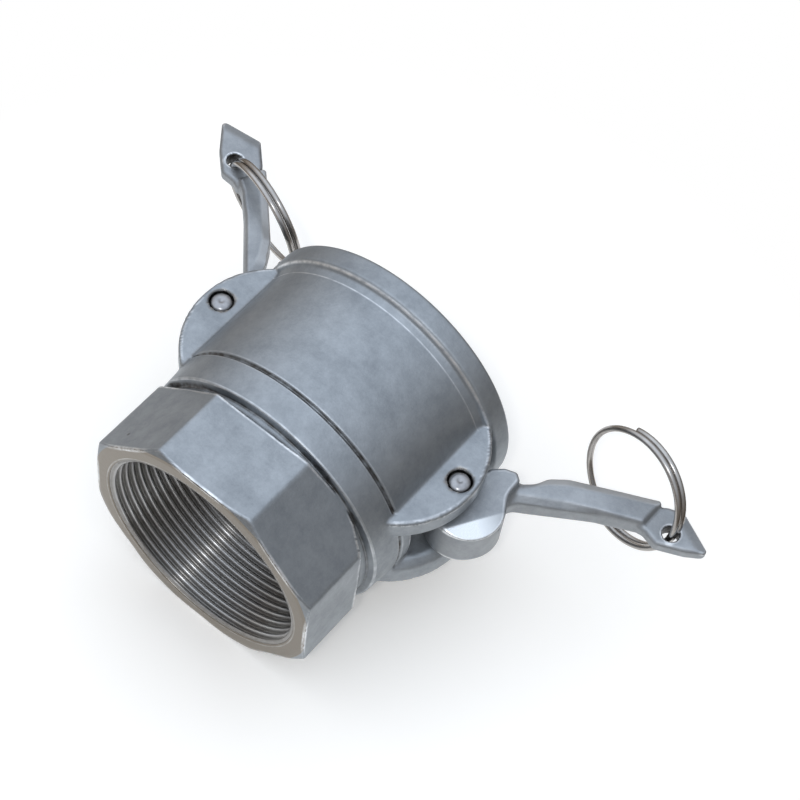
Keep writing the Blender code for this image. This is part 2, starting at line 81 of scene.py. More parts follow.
def add_node(tree, kind, links=(), **settings):
    """A shader node with its settings, and links as (socket of the new node, from socket)."""
    node = tree.nodes.new(kind)
    for key, value in settings.items():
        setattr(node, key, value)
    for socket, source in links:
        if isinstance(source, bpy.types.NodeSocket):
            tree.links.new(source, node.inputs[socket])
        else:
            node.inputs[socket].default_value = source
    return node


def seen_directly(tree):
    """1 where the camera looks, also by way of a mirror or through glass, and 0 elsewhere."""
    path = add_node(tree, "ShaderNodeLightPath")
    mirrored = add_node(tree, "ShaderNodeMath", [(0, path.outputs["Is Camera Ray"]),
                        (1, path.outputs["Is Glossy Ray"])], operation="MAXIMUM")
    return add_node(tree, "ShaderNodeMath", [(0, mirrored.outputs[0]),
                    (1, path.outputs["Is Transmission Ray"])], operation="MAXIMUM").outputs[0]


soft = add_node(room, "ShaderNodeBackground", [("Color", (0.80, 0.84, 0.90, 1.0)), ("Strength", 0.7)])
white = add_node(room, "ShaderNodeBackground", [("Color", (1.0, 1.0, 1.0, 1.0)), ("Strength", 1.0)])
which = add_node(room, "ShaderNodeMixShader", [(0, seen_directly(room)), (1, soft.outputs[0]),
                 (2, white.outputs[0])])
add_node(room, "ShaderNodeOutputWorld", [("Surface", which.outputs[0])])
bpy.context.scene.world = world

# Light tent: a sphere of glowing cloth round the table, which the camera looks through.
# It is brightest overhead, a third brighter on the left, and dim and brown below.
TENT_RADIUS = 2.2
TENT_SIDES = 64
TENT_RINGS = 26
TENT_TOP = np.radians(89.0)
LEFT_GAIN = 0.33
around = np.linspace(0.0, 2.0 * np.pi, TENT_SIDES + 1)[:-1]
rise = np.linspace(-TENT_TOP, TENT_TOP, TENT_RINGS)
tent_points = np.stack([TENT_RADIUS * np.outer(np.cos(rise), np.cos(around)),
                        TENT_RADIUS * np.outer(np.cos(rise), np.sin(around)),
                        TENT_RADIUS * np.outer(np.sin(rise), np.ones(TENT_SIDES))], 2).reshape(-1, 3)
row, column = np.meshgrid(np.arange(TENT_RINGS - 1), np.arange(TENT_SIDES), indexing="ij")
beyond = (column + 1) % TENT_SIDES
tent_faces = np.stack([row * TENT_SIDES + column, (row + 1) * TENT_SIDES + column,
                       (row + 1) * TENT_SIDES + beyond, row * TENT_SIDES + beyond], 2).reshape(-1, 4)
tent_mesh = bpy.data.meshes.new("light_tent")
tent_mesh.from_pydata(tent_points.tolist(), [], tent_faces.tolist())
tent = bpy.data.objects.new("light_tent", tent_mesh)
bpy.context.scene.collection.objects.link(tent)
tent.visible_camera = False
cloth = bpy.data.materials.new("tent_cloth")
cloth.use_nodes = True
tree = cloth.node_tree
tree.nodes.clear()
place = add_node(tree, "ShaderNodeTexCoord").outputs["Object"]
tent_axes = add_node(tree, "ShaderNodeSeparateXYZ", [(0, place)])
level = add_node(tree, "ShaderNodeMapRange", [("Value", tent_axes.outputs["Z"]),
                 ("From Min", -TENT_RADIUS), ("From Max", TENT_RADIUS)])
ramp = add_node(tree, "ShaderNodeValToRGB", [(0, level.outputs[0])])
for position, colour in ((0.0, (0.07, 0.06, 0.05)), (0.375, (0.16, 0.13, 0.10)),
                         (0.50, (0.36, 0.325, 0.29)), (0.65, (0.48, 0.47, 0.47)),
                         (0.80, (0.84, 0.89, 0.97)), (0.96, (1.18, 1.30, 1.47))):
    stop = ramp.color_ramp.elements.new(position)
    stop.color = (*colour, 1.0)
ramp.color_ramp.elements.remove(ramp.color_ramp.elements[0])
ramp.color_ramp.elements.remove(ramp.color_ramp.elements[-1])
leftward = add_node(tree, "ShaderNodeMath", [(0, tent_axes.outputs["X"]),
                    (1, -LEFT_GAIN / TENT_RADIUS), (2, 1.0)], operation="MULTIPLY_ADD")
glow = add_node(tree, "ShaderNodeEmission", [("Color", ramp.outputs["Color"]),
                ("Strength", leftward.outputs[0])])
add_node(tree, "ShaderNodeOutputMaterial", [("Surface", glow.outputs[0])])
tent_mesh.materials.append(cloth)

# Table: a round sheet of white paper. The coupler leans on its lip and on the front edge
# of its octagonal end, so the sheet slopes along the bore. It keeps the shadow, and fades
# to plain white at its rim. What it scatters on to the coupler is dimmer and warmer.
TABLE_SLOPE = math.radians(4.15)
TABLE_RADIUS = 0.17
FADE_START = 0.10
FADE_END = 0.165
LIP_FOOT = MOUTH + Vector((0.0, 0.0706, -0.04004))
TABLE_SHIFT = Vector((0.0, 0.015, 0.0))
table_mesh = bpy.data.meshes.new("table")
table_rim = np.stack([TABLE_RADIUS * np.cos(around), TABLE_RADIUS * np.sin(around), 0.0 * around], 1)
tilt = np.array([[1.0, 0.0, 0.0], [0.0, math.cos(TABLE_SLOPE), math.sin(TABLE_SLOPE)],
                 [0.0, -math.sin(TABLE_SLOPE), math.cos(TABLE_SLOPE)]])
table_points = (table_rim - np.array(TABLE_SHIFT)) @ tilt.T + np.array(LIP_FOOT)
table_mesh.from_pydata(table_points.tolist(), [], [list(range(TENT_SIDES))])
table = bpy.data.objects.new("table", table_mesh)
bpy.context.scene.collection.objects.link(table)
paper = bpy.data.materials.new("white_paper")
paper.use_nodes = True
tree = paper.node_tree
tree.nodes.clear()
sheet = add_node(tree, "ShaderNodeBsdfDiffuse", [("Color", (0.66, 0.61, 0.55, 1.0))])
bright = add_node(tree, "ShaderNodeBsdfDiffuse", [("Color", (0.97, 0.93, 0.87, 1.0))])
lift = add_node(tree, "ShaderNodeEmission", [("Color", (1.0, 1.0, 1.0, 1.0)), ("Strength", 0.15)])
lit_sheet = add_node(tree, "ShaderNodeAddShader", [(0, bright.outputs[0]), (1, lift.outputs[0])])
place = add_node(tree, "ShaderNodeTexCoord").outputs["Object"]
from_middle = add_node(tree, "ShaderNodeVectorMath", [(0, place), (1, tuple(LIP_FOOT - TABLE_SHIFT))],
                       operation="DISTANCE")
rim_fade = add_node(tree, "ShaderNodeMapRange", [("Value", from_middle.outputs["Value"]),
                    ("From Min", FADE_START), ("From Max", FADE_END)], interpolation_type="SMOOTHSTEP")
plain_white = add_node(tree, "ShaderNodeEmission", [("Color", (1.0, 1.0, 1.0, 1.0)), ("Strength", 1.0)])
shown = add_node(tree, "ShaderNodeMixShader", [(0, rim_fade.outputs[0]), (1, lit_sheet.outputs[0]),
                 (2, plain_white.outputs[0])])
either = add_node(tree, "ShaderNodeMixShader", [(0, seen_directly(tree)), (1, sheet.outputs[0]),
                  (2, shown.outputs[0])])
add_node(tree, "ShaderNodeOutputMaterial", [("Surface", either.outputs[0])])
table_mesh.materials.append(paper)

# Small lamp to the left of the camera: it gives the thread its bright line.
LAMP_WAY = Vector((0.21, -0.43, 0.88))
LAMP_DISTANCE = 1.2
lamp_data = bpy.data.lights.new("small_lamp", "AREA")
lamp_data.shape = "DISK"
lamp_data.size = 0.07
lamp_data.energy = 1.8
lamp = bpy.data.objects.new("small_lamp", lamp_data)
bpy.context.scene.collection.objects.link(lamp)
lamp.location = MOUTH + LAMP_WAY * LAMP_DISTANCE
lamp.rotation_euler = LAMP_WAY.to_track_quat("Z", "Y").to_euler()

# Body casting, one piece of investment-cast stainless steel: the socket with its lip,
# four ears, the collar and the octagonal wrench end. Its outside is bead-blasted as
# cast. The bore, the gasket recess and both end faces are turned on a lathe.
LENGTH = 0.0765
OCTAGON_HALF = 0.0349
PIN_OFFSET = 0.0400
PIN_STATION = 0.0529
EAR_ARC = 0.0250
EAR_REACH = 0.0449
EAR_STATION = 0.0513
EAR_TOP = 0.01615
EAR_CHAMFER = 0.0024
SLOT_HALF = 0.0075
SLOT_REACH = 0.01436
SLOT_FLOOR = 0.0280
PIN_HOLE = 0.00335
CORNER_CONE = 0.0354
HALF_ROOT = 0.7071


def rounded_outline(corners, steps=6):
    """Closed outline of (x, y) points: each corner (x, y, radius) becomes an arc.

    The arc's centre lies on the corner's bisector, radius / sin(half angle) away.
    """
    spots = np.array([corner[:2] for corner in corners], float)
    radii = np.array([corner[2] for corner in corners], float)
    before = np.roll(spots, 1, 0) - spots
    after = np.roll(spots, -1, 0) - spots
    before /= np.linalg.norm(before, axis=1)[:, None]
    after /= np.linalg.norm(after, axis=1)[:, None]
    half = np.arccos(np.clip((before * after).sum(1), -1.0, 1.0)) / 2.0
    middle = before + after
    middle /= np.linalg.norm(middle, axis=1)[:, None]
    centre = spots + middle * (radii / np.sin(half))[:, None]
    start = spots + before * (radii / np.tan(half))[:, None] - centre
    end = spots + after * (radii / np.tan(half))[:, None] - centre
    share = np.linspace(0.0, 1.0, steps)[None, :, None]
    chord = start[:, None] * (1.0 - share) + end[:, None] * share
    size = np.linalg.norm(chord, axis=2)
    arc = chord * (radii[:, None] / np.maximum(size, 1e-12))[:, :, None]
    points = (centre[:, None] + arc).reshape(-1, 2)
    apart = np.linalg.norm(points - np.roll(points, 1, 0), axis=1)
    return points[apart > 1e-7]


def outline_distance(outline, across, along):
    """Signed distance to a closed outline, negative inside.

    The smallest distance to any of its sides, with the sign from how many sides a
    ray towards +across crosses.
    """
    nearest = np.full(np.broadcast(across, along).shape, 1.0)
    inside = np.zeros(nearest.shape, bool)
    for (x0, y0), (x1, y1) in zip(outline, np.roll(outline, -1, 0)):
        dx, dy = x1 - x0, y1 - y0
        share = ((across - x0) * dx + (along - y0) * dy) / (dx * dx + dy * dy)
        share = np.clip(share, 0.0, 1.0)
        nearest = np.minimum(nearest, np.hypot(across - x0 - share * dx, along - y0 - share * dy))
        spans = (along >= y0) != (along >= y1)
        if dy != 0.0:
            inside ^= spans & (across < x0 + (along - y0) * dx / dy)
    return np.where(inside, -nearest, nearest)


def blend_min(a, b, width):
    """The smaller of two distances, rounded where they are within width of each other."""
    share = np.clip(0.5 + 0.5 * (b - a) / width, 0.0, 1.0)
    return b + (a - b) * share - width * share * (1.0 - share)


def blend_max(a, b, width):
    """The larger of two distances, rounded in the same way."""
    return -blend_min(-a, -b, width)


OUTSIDE = rounded_outline([
    (0.0200, LENGTH, 0.0), (0.0400, LENGTH, 0.0011), (0.0400, 0.0706, 0.0006),
    (0.0393, 0.0699, 0.0006), (0.0382, 0.0692, 0.0008), (0.0377, 0.0672, 0.0008),
    (0.0376, 0.0349, 0.0002), (0.0367, 0.0342, 0.0001), (0.0375, 0.0335, 0.0002),
    (0.0369, 0.0249, 0.0004), (0.0346, 0.0243, 0.0003), (0.0345, 0.0150, 0.0),
    (0.0200, 0.0150, 0.0)])
BORE = rounded_outline([
    (-0.0100, 0.0800, 0.0), (0.0330, 0.0800, 0.0), (0.0330, LENGTH, 0.0004),
    (0.0320, LENGTH - 0.0010, 0.0004), (0.0320, 0.03815, 0.0003), (0.0336, 0.03815, 0.0003),
    (0.0336, 0.0312, 0.0004), (0.0256, 0.0312, 0.0004), (0.0256, 0.02775, 0.0008),
    (0.02985, 0.0240, 0.0004), (0.0308, 0.0004, 0.0001), (0.0311, 0.0, 0.0),
    (0.0322, -0.00140, 0.0), (-0.0100, -0.00140, 0.0)])
# Where the flats end along the bore, by the angle from the right side over the top.
END_ANGLES = np.radians([0.0, 22.5, 34.0, 45.0, 56.0, 67.5, 90.0, 112.5, 135.0, 157.5, 180.0])
END_PLACES = np.array([21.0, 20.6, 23.6, 24.6, 23.8, 22.6, 22.4, 22.4, 23.2, 23.6, 22.0]) / 1000.0


def casting_outside(across, along, up):
    """Distance field of the casting before it is machined.

    The union of the turned outside, an octagonal prism with its front corners turned
    off, and two pairs of ears, joined with cast fillets.
    """
    radius = np.hypot(across, up)
    angle = np.arctan2(up, across)
    body = outline_distance(OUTSIDE, radius, along)
    beside = np.mod(angle + np.pi / 8.0, np.pi / 4.0) - np.pi / 8.0
    near = radius * np.cos(beside) - OCTAGON_HALF
    far = radius * np.cos(np.pi / 4.0 - np.abs(beside)) - OCTAGON_HALF
    flats = blend_max(near, far, 0.0006)
    cone = (radius - CORNER_CONE - 2.0 * along) / math.sqrt(5.0)
    flats = blend_max(flats, cone, 0.0004)
    end = np.interp(np.abs(angle), END_ANGLES, END_PLACES)
    flats = blend_max(flats, along - end, 0.0004)
    flats = blend_max(flats, -along, 0.0004)
    body = blend_min(body, flats, 0.0005)
    disc = np.hypot(np.abs(across) - (EAR_REACH - EAR_ARC), along - EAR_STATION) - EAR_ARC
    plate = blend_max(disc, np.abs(up) - EAR_TOP, 0.0009)
    inner = SLOT_HALF - np.abs(up)
    plate = blend_max(plate, inner, 0.0008)
    plate = blend_max(plate, (disc + inner + EAR_CHAMFER) * HALF_ROOT, 0.0007)
    return blend_min(body, plate, 0.0007)


def machining(across, along, up):
    """Distance field of what is cut away: the stepped bore, both slots and the pin holes."""
    radius = np.hypot(across, up)
    bore = outline_distance(BORE, radius, along)
    slot = blend_max(np.abs(up) - SLOT_HALF, np.abs(along - PIN_STATION) - SLOT_REACH, 0.0020)
    slot = blend_max(slot, SLOT_FLOOR - np.abs(across), 0.0002)
    hole = np.hypot(np.abs(across) - PIN_OFFSET, along - PIN_STATION) - PIN_HOLE
    hole = np.maximum(hole, SLOT_HALF * 0.5 - np.abs(up))
    return np.minimum(np.minimum(bore, slot), hole)


def casting(across, along, up):
    """Distance field of the finished body: the casting less what is machined away."""
    return blend_max(casting_outside(across, along, up), -machining(across, along, up), 0.0003)


def surface_net(field, wraps):
    """Closed quad surface of a field's zero level on a grid, in grid steps.

    Every cell that the level passes through gets one vertex, the mean of its
    crossings with the cell's edges, and every grid edge that it crosses gets the
    face between the four cells round it. wraps joins the second axis to itself.
    """
    if wraps:
        field = np.concatenate([field, field[:, :1]], 1)
    shape = [n - 1 for n in field.shape]
    total = np.zeros((*shape, 3))
    count = np.zeros(shape, int)
    crossings = []
    for axis in range(3):
        head = np.take(field, range(field.shape[axis] - 1), axis)
        tail = np.take(field, range(1, field.shape[axis]), axis)
        crossed = (head < 0) != (tail < 0)
        share = np.where(crossed, head / np.where(crossed, head - tail, 1.0), 0.0)
        crossings.append((crossed, head < 0))
        others = [n for n in range(3) if n != axis]
        for first in (0, 1):
            for second in (0, 1):
                window = [slice(None)] * 3
                window[others[0]] = slice(first, first + shape[others[0]])
                window[others[1]] = slice(second, second + shape[others[1]])
                hit = crossed[tuple(window)]
                count += hit
                total[..., axis] += share[tuple(window)]
                total[..., others[0]] += first * hit
                total[..., others[1]] += second * hit
    used = count > 0
    index = np.full(shape, -1)
    index[used] = np.arange(used.sum())
    spots = np.argwhere(used) + total[used] / count[used][:, None]
    faces = []
    for axis, (crossed, inner) in enumerate(crossings):
        others = [n for n in range(3) if n != axis]
        place = np.argwhere(crossed)
        keep = np.ones(len(place), bool)
        for n in others:
            if n == 1 and wraps:
                keep &= place[:, n] < shape[n]
            else:
                keep &= (place[:, n] > 0) & (place[:, n] < shape[n])
        place = place[keep]
        ring = []
        for first, second in ((-1, -1), (0, -1), (0, 0), (-1, 0)):
            cell = place.copy()
            cell[:, others[0]] += first
            cell[:, others[1]] += second
            if wraps:
                cell[:, 1] %= shape[1]
            ring.append(index[tuple(cell.T)])
        quads = np.stack(ring, 1)
        flip = inner[tuple(place.T)] == (axis == 1)
        quads[flip] = quads[flip][:, ::-1]
        faces.append(quads)
    return spots, np.concatenate(faces)


def slope(field, points):
    """Gradient of a distance field at points, by small steps to both sides."""
    step = 0.00002
    grad = np.empty_like(points)
    for axis in range(3):
        nudge = np.zeros(3)
        nudge[axis] = step
        grad[:, axis] = (field(*(points + nudge).T) - field(*(points - nudge).T)) / (2.0 * step)
    return grad


def settle_on(field, points, rounds):
    """Move points along the gradient on to the field's zero level, by Newton steps.

    A step is never longer than 0.3 mm times the gradient, so that creases stay in place.
    """
    for _ in range(rounds):
        grad = slope(field, points)
        size = np.maximum((grad ** 2).sum(1), 0.2)
        step = np.clip(field(*points.T) / size, -0.0003, 0.0003)
        points = points - grad * step[:, None]
    return points


def make_piece(name, points, faces, body, slot, *nodes, **marks):
    """A mesh object from arrays of points and faces, riding on a body of the model.

    marks are values for each point that the material reads, stored as attributes.
    """
    mesh = bpy.data.meshes.new(name)
    corners = points[faces]
    middle = corners.mean(1) - points.mean(0)
    cross = np.cross(corners[:, 2] - corners[:, 0], corners[:, 3] - corners[:, 1])
    if (cross * middle).sum() < 0:
        faces = faces[:, ::-1]
    mesh.from_pydata(points.tolist(), [], faces.tolist())
    mesh.shade_smooth()
    for key, values in marks.items():
        layer = mesh.attributes.new(key, "FLOAT", "POINT")
        layer.data.foreach_set("value", np.asarray(values, np.float32))
    piece = bpy.data.objects.new(name, mesh)
    bpy.context.scene.collection.objects.link(piece)
    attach(piece, body)
    if nodes:
        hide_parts(*nodes)
    return piece


def sharpness(field, points, reach):
    """How sharp the edge is at each point: 1 on an outside corner, -1 in a hollow one.

    On a flat wall the field is -reach at that depth under the surface, and reach at
    that height over it. A corner brings both nearer to zero.
    """
    grad = slope(field, points)
    away = grad / np.maximum(np.linalg.norm(grad, axis=1), 1e-9)[:, None] * reach
    outside_corner = np.clip(1.0 + field(*(points - away).T) / reach, 0.0, 1.0)
    hollow_corner = np.clip(1.0 - field(*(points + away).T) / reach, 0.0, 1.0)
    return outside_corner - hollow_corner


def stations(*runs):
    """Grid places from runs of (start, end, step), each run stopping short of the next."""
    parts = [np.arange(start, end - step * 0.5, step) for start, end, step in runs]
    return np.concatenate([*parts, [runs[-1][1]]])


BODY_SIDES = 256
radii = stations((0.0246, 0.0300, 0.00060), (0.0300, 0.0410, 0.00042), (0.0410, 0.0488, 0.00060))
lengths = stations((-0.0007, 0.0020, 0.00030), (0.0020, 0.0200, 0.0011), (0.0200, 0.0222, 0.0006),
                   (0.0222, 0.0260, 0.00025), (0.0260, 0.0330, 0.0009), (0.0330, 0.0352, 0.00017),
                   (0.0352, 0.0390, 0.0007), (0.0390, 0.0660, 0.0009), (0.0660, 0.0712, 0.00028),
                   (0.0712, 0.0744, 0.0009), (0.0744, 0.0773, 0.00035))
angles = np.arange(BODY_SIDES) * 2.0 * np.pi / BODY_SIDES
field = casting(radii[:, None, None] * np.cos(angles)[None, :, None],
                lengths[None, None, :],
                radii[:, None, None] * np.sin(angles)[None, :, None])
spots, faces = surface_net(field, True)
spot_radius = np.interp(spots[:, 0], np.arange(len(radii)), radii)
spot_angle = spots[:, 1] * 2.0 * np.pi / BODY_SIDES
spot_along = np.interp(spots[:, 2], np.arange(len(lengths)), lengths)
points = np.stack([spot_radius * np.cos(spot_angle), spot_along,
                   spot_radius * np.sin(spot_angle)], 1)
points = settle_on(casting, points, 3)


# Marks for the material. Both end faces and what is cut away are machined, but the slots
# stay as they were blasted.
NEAR_FACE = 0.0002
from_axis = np.hypot(points[:, 0], points[:, 2])
above = np.abs(points[:, 2])
machined = machining(*points.T) < 0.00015
machined |= (points[:, 1] < NEAR_FACE) | (points[:, 1] > LENGTH - NEAR_FACE)
in_slot = (from_axis > 0.0350) & (above < SLOT_HALF + 0.0003)
in_slot &= np.abs(points[:, 1] - PIN_STATION) < 0.0168
machined &= ~in_slot


def group_node(tree, group, links=()):
    """A node that stands for a whole group of nodes."""
    return add_node(tree, "ShaderNodeGroup", links, node_tree=group)


def new_group(name, inputs, outputs):
    """An empty node group with named sockets, and its two end nodes."""
    group = bpy.data.node_groups.new(name, "ShaderNodeTree")
    for label, kind in inputs:
        group.interface.new_socket(label, in_out="INPUT", socket_type=kind)
    for label, kind in outputs:
        group.interface.new_socket(label, in_out="OUTPUT", socket_type=kind)
    return group, group.nodes.new("NodeGroupInput"), group.nodes.new("NodeGroupOutput")


def blasted_skin():
    """Skin of a bead-blasted casting.

    Outputs broad mottling, fine grain for the height, and a few small pits.
    """
    group, start, end = new_group("blasted_skin", [("Place", "NodeSocketVector")],
                                  [("Mottle", "NodeSocketFloat"), ("Grain", "NodeSocketFloat"),
                                   ("Pits", "NodeSocketFloat")])
    place = start.outputs["Place"]
    broad = add_node(group, "ShaderNodeTexNoise", [("Vector", place), ("Scale", 95.0),
                     ("Detail", 7.0), ("Roughness", 0.80)])
    fine = add_node(group, "ShaderNodeTexNoise", [("Vector", place), ("Scale", 1500.0),
                    ("Detail", 3.0), ("Roughness", 0.6)])
    cells = add_node(group, "ShaderNodeTexVoronoi", [("Vector", place), ("Scale", 210.0)])
    size = add_node(group, "ShaderNodeMapRange", [("Value", cells.outputs["Distance"]),
                    ("From Min", 0.05), ("From Max", 0.16), ("To Min", 1.0), ("To Max", 0.0)])
    chance = add_node(group, "ShaderNodeSeparateColor", [(0, cells.outputs["Color"])])
    few = add_node(group, "ShaderNodeMath", [(0, chance.outputs[0]), (1, 0.985)],
                   operation="GREATER_THAN")
    pits = add_node(group, "ShaderNodeMath", [(0, size.outputs[0]), (1, few.outputs[0])],
                    operation="MULTIPLY")
    even = add_node(group, "ShaderNodeMapRange", [("Value", broad.outputs["Fac"]),
                    ("From Min", 0.30), ("From Max", 0.72)])
    group.links.new(even.outputs[0], end.inputs["Mottle"])
    group.links.new(fine.outputs["Fac"], end.inputs["Grain"])
    group.links.new(pits.outputs[0], end.inputs["Pits"])
    return group


def worn_edges_and_highlights():
    """Masks of the bright worn edges, which also carry painted highlights, and of painted shade in the hollow
    corners, darkened as if shaded.
    """
    group, start, end = new_group("worn_edges_and_highlights", [("Place", "NodeSocketVector"),
                                                   ("Sharpness", "NodeSocketFloat")],
                                  [("Wear_and_highlight", "NodeSocketFloat"), ("Painted_shade", "NodeSocketFloat")])
    uneven = add_node(group, "ShaderNodeTexNoise", [("Vector", start.outputs["Place"]),
                      ("Scale", 420.0), ("Detail", 3.0)])
    share = add_node(group, "ShaderNodeMapRange", [("Value", uneven.outputs["Fac"]),
                     ("From Min", 0.34), ("From Max", 0.62), ("To Min", 0.35), ("To Max", 1.0)])
    outside = add_node(group, "ShaderNodeMapRange", [("Value", start.outputs["Sharpness"]),
                       ("From Min", 0.10), ("From Max", 0.42)])
    inside = add_node(group, "ShaderNodeMapRange", [("Value", start.outputs["Sharpness"]),
                      ("From Min", -0.08), ("From Max", -0.55)])
    # Worn edges, together with the painted highlight rings that the sharpness mark carries.
    wear_and_highlight_mask = add_node(group, "ShaderNodeMath", [(0, outside.outputs[0]), (1, share.outputs[0])],
                      operation="MULTIPLY")
    # Painted shade: hollow corners are darkened as if shaded.
    dirt = add_node(group, "ShaderNodeMath", [(0, inside.outputs[0]), (1, share.outputs[0])],
                    operation="MULTIPLY")
    group.links.new(wear_and_highlight_mask.outputs[0], end.inputs["Wear_and_highlight"])
    group.links.new(dirt.outputs[0], end.inputs["Painted_shade"])
    return group


def mixed(tree, share, first, second):
    """Colour or value that goes from first to second with share."""
    colours = isinstance(first, tuple) or getattr(first, "type", "") == "RGBA"
    mix = add_node(tree, "ShaderNodeMix", data_type="RGBA" if colours else "FLOAT")
    sockets = [socket for socket in mix.inputs if socket.enabled]
    for socket, source in zip(sockets, (share, first, second)):
        if isinstance(source, bpy.types.NodeSocket):
            tree.links.new(source, socket)
        else:
            socket.default_value = source
    return [socket for socket in mix.outputs if socket.enabled][0]


SKIN = blasted_skin()
EDGES = worn_edges_and_highlights()
# Machined steel, painted darker and brown: a painted reflection of brown surroundings on the turned faces.
MACHINED_STEEL_PAINTED_REFLECTION = (0.215, 0.188, 0.155, 1.0)
# Worn edges and the painted highlights mix towards this bright colour.
WORN_AND_HIGHLIGHT_STEEL = (0.86, 0.88, 0.90, 1.0)
# Ground places mix towards this colour. On the arms the same mark also paints highlights.
GROUND_AND_HIGHLIGHT_STEEL = (0.76, 0.78, 0.79, 1.0)
# Painted shade in hollow corners, groove lines and the ring hole, and the dark pits, mix towards this colour.
SHADE_AND_PIT_DARK = (0.10, 0.095, 0.09, 1.0)


def cast_steel(name, dark, light):
    """Bead-blasted stainless steel: a matte grey skin, brighter where its edges are worn and where highlights
    are painted on.

    The marks for machining, grinding and sharpness come from the mesh. Machined places are
    smoother, with fine rings left by the lathe tool, and their colour is painted darker and
    brown, a painted reflection. Places marked by grinding are bright, and on the arms the same
    mark paints highlights. Sharp edges are worn bright, hollow corners get painted shade, and
    the sharpness mark also carries painted highlight rings and painted shade lines.
    """
    metal = bpy.data.materials.new(name)
    metal.use_nodes = True
    tree = metal.node_tree
    shader = tree.nodes["Principled BSDF"]
    shader.inputs["Metallic"].default_value = 1.0
    place = add_node(tree, "ShaderNodeTexCoord").outputs["Object"]
    skin = group_node(tree, SKIN, [("Place", place)])
    sharp = add_node(tree, "ShaderNodeAttribute", attribute_name="sharpness").outputs["Fac"]
    turned = add_node(tree, "ShaderNodeAttribute", attribute_name="machined").outputs["Fac"]
    edges = group_node(tree, EDGES, [("Place", place), ("Sharpness", sharp)])
    colour = mixed(tree, skin.outputs["Mottle"], (*dark, 1.0), (*light, 1.0))
    colour = mixed(tree, turned, colour, MACHINED_STEEL_PAINTED_REFLECTION)
    ground = add_node(tree, "ShaderNodeAttribute", attribute_name="ground").outputs["Fac"]
    # Worn edges and painted highlights lighten the colour.
    colour = mixed(tree, edges.outputs["Wear_and_highlight"], colour, WORN_AND_HIGHLIGHT_STEEL)
    # Ground places and the painted highlights on the arms lighten the colour.
    colour = mixed(tree, ground, colour, GROUND_AND_HIGHLIGHT_STEEL)
    # Painted shade from hollow corners, groove lines and the ring hole, with the pits, darkens the colour.
    shade = add_node(tree, "ShaderNodeMath", [(0, edges.outputs["Painted_shade"]),
                     (1, skin.outputs["Pits"])], operation="MAXIMUM")
    colour = mixed(tree, shade.outputs[0], colour, SHADE_AND_PIT_DARK)
    tree.links.new(colour, shader.inputs["Base Color"])
    rough = mixed(tree, skin.outputs["Mottle"], 0.56, 0.48)
    rough = mixed(tree, turned, rough, 0.30)
    rough = mixed(tree, ground, rough, 0.26)
    rough = mixed(tree, edges.outputs["Wear_and_highlight"], rough, 0.36)
    tree.links.new(rough, shader.inputs["Roughness"])
    tool = add_node(tree, "ShaderNodeTexWave", [("Vector", place), ("Scale", 1100.0),
                    ("Distortion", 0.6)], bands_direction="Y")
    height = mixed(tree, turned, skin.outputs["Grain"], tool.outputs["Fac"])
    bump = add_node(tree, "ShaderNodeBump", [("Height", height), ("Strength", 0.65),
                    ("Distance", 0.00009)])
    tree.links.new(bump.outputs["Normal"], shader.inputs["Normal"])
    return metal


# Painted highlight rings round the lip, as (place along the bore, width, strength): bright
# lines laid on its two edges as if lit. Lines of painted shade in the grooves, as (place,
# width, outermost radius, strength): dark as if shaded. The painted shade is on top and
# underneath, and fades out towards the ears.
EDGE_REACH = 0.0009
PIN_SURROUND = 0.0045
PAINTED_HIGHLIGHT_RINGS = ((0.0672, 0.00024, 0.32), (0.0699, 0.00030, 0.42))
PAINTED_SHADE_LINES = ((0.0245, 0.00045, 0.0362, 0.22), (0.0342, 0.00036, 0.0375, 1.1))
GASKET_SIDE = 0.0260
SOCKET_GROUND = 0.36
body_sharp = sharpness(casting, points, EDGE_REACH)
by_pin = np.hypot(np.abs(points[:, 0]) - PIN_OFFSET, points[:, 1] - PIN_STATION) < PIN_SURROUND
body_sharp = np.where(by_pin, np.minimum(body_sharp, 0.0), body_sharp)
# Painted highlight: bright rings laid on the lip's two edges, as if lit.
for ring_place, ring_width, ring_gain in PAINTED_HIGHLIGHT_RINGS:
    highlight_ring_mark = ring_gain * np.exp(-((points[:, 1] - ring_place) / ring_width) ** 2)
    body_sharp += highlight_ring_mark * ((from_axis > 0.0370) & (above > EAR_TOP))
# Painted shade: dark lines laid in the neck and in the groove on the collar, as if shaded.
for dirt_place, dirt_width, dirt_top, dirt_gain in PAINTED_SHADE_LINES:
    dirt_mark = dirt_gain * np.exp(-((points[:, 1] - dirt_place) / dirt_width) ** 2)
    dirt_mark *= np.clip((dirt_top - from_axis) / 0.0003, 0.0, 1.0) * (from_axis > 0.0335)
    body_sharp -= dirt_mark * np.clip(above / from_axis * 4.0 - 1.4, 0.0, 1.0)
# The body's sharpness mark also carries the painted highlight rings and the painted shade lines.
body_piece = make_piece("body_casting", points + np.array(MOUTH), faces, "housing", "cast_steel",
                        "housing", machined=machined, sharpness=body_sharp,
                        ground=SOCKET_GROUND * (machined & (points[:, 1] > GASKET_SIDE)))
body_steel = cast_steel("blasted_steel", (0.266, 0.288, 0.310), (0.404, 0.431, 0.457))
body_piece.data.materials.append(body_steel)

